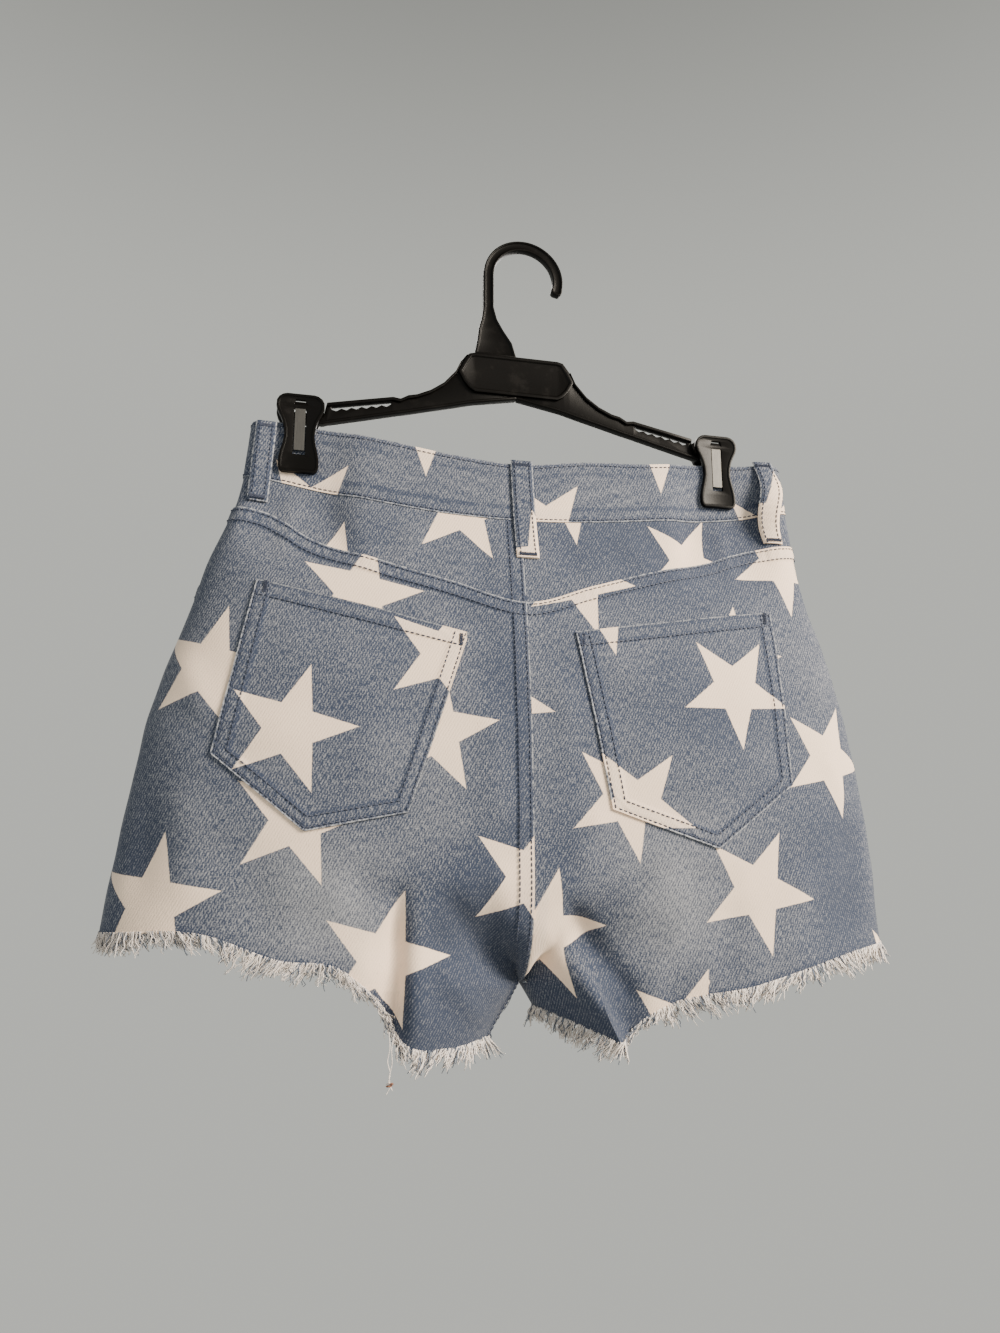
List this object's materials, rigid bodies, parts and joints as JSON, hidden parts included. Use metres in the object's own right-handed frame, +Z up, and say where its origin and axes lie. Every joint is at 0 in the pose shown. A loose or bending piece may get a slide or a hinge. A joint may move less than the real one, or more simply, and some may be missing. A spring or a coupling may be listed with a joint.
{
  "type": "denim shorts on a clip hanger",
  "caption": "High-waisted cut-off denim shorts in washed blue with a scattered pale star print, frayed hems and patch back pockets, held by the waistband in a black plastic clip hanger.",
  "frame": {"origin": "underside of the hook's crown, where the hook rests on what holds the hanger", "axes": "+Z up; the seat (the back of the shorts) faces -Y and the front with its fly faces +Y; the wearer's left is at -X"},
  "size_m": [0.4877, 0.0794, 0.5448],
  "materials": {
    "denim": "washed mid-blue stretch denim, matte twill, with a pale star print and navy topstitching",
    "fringe_thread": "frayed white weft and blue-grey warp threads",
    "hanger_plastic": "black moulded plastic, satin",
    "spring_steel": "bright spring steel strip",
    "button_metal": "aged brass shank button"
  },
  "bodies": {
    "root": {"waistband": "denim", "yoke_left": "denim", "yoke_right": "denim", "back_left": "denim", "back_right": "denim", "front_left": "denim", "front_right": "denim", "pocket_facing_left": "denim", "pocket_facing_right": "denim", "fly_shield": "denim", "back_pocket_left": "denim", "back_pocket_right": "denim", "belt_loop_back": "denim", "belt_loop_back_left": "denim", "belt_loop_back_right": "denim", "belt_loop_front_left": "denim", "belt_loop_front_right": "denim", "fringe_left": "fringe_thread", "fringe_right": "fringe_thread", "button": "button_metal", "hanger_bar": "hanger_plastic", "hanger_hook": "hanger_plastic", "clip_left_seat_jaw": "hanger_plastic", "clip_left_front_jaw": "hanger_plastic", "clip_right_seat_jaw": "hanger_plastic", "clip_right_front_jaw": "hanger_plastic", "clip_left_spring": "spring_steel", "clip_right_spring": "spring_steel"}
  },
  "joints": []
}
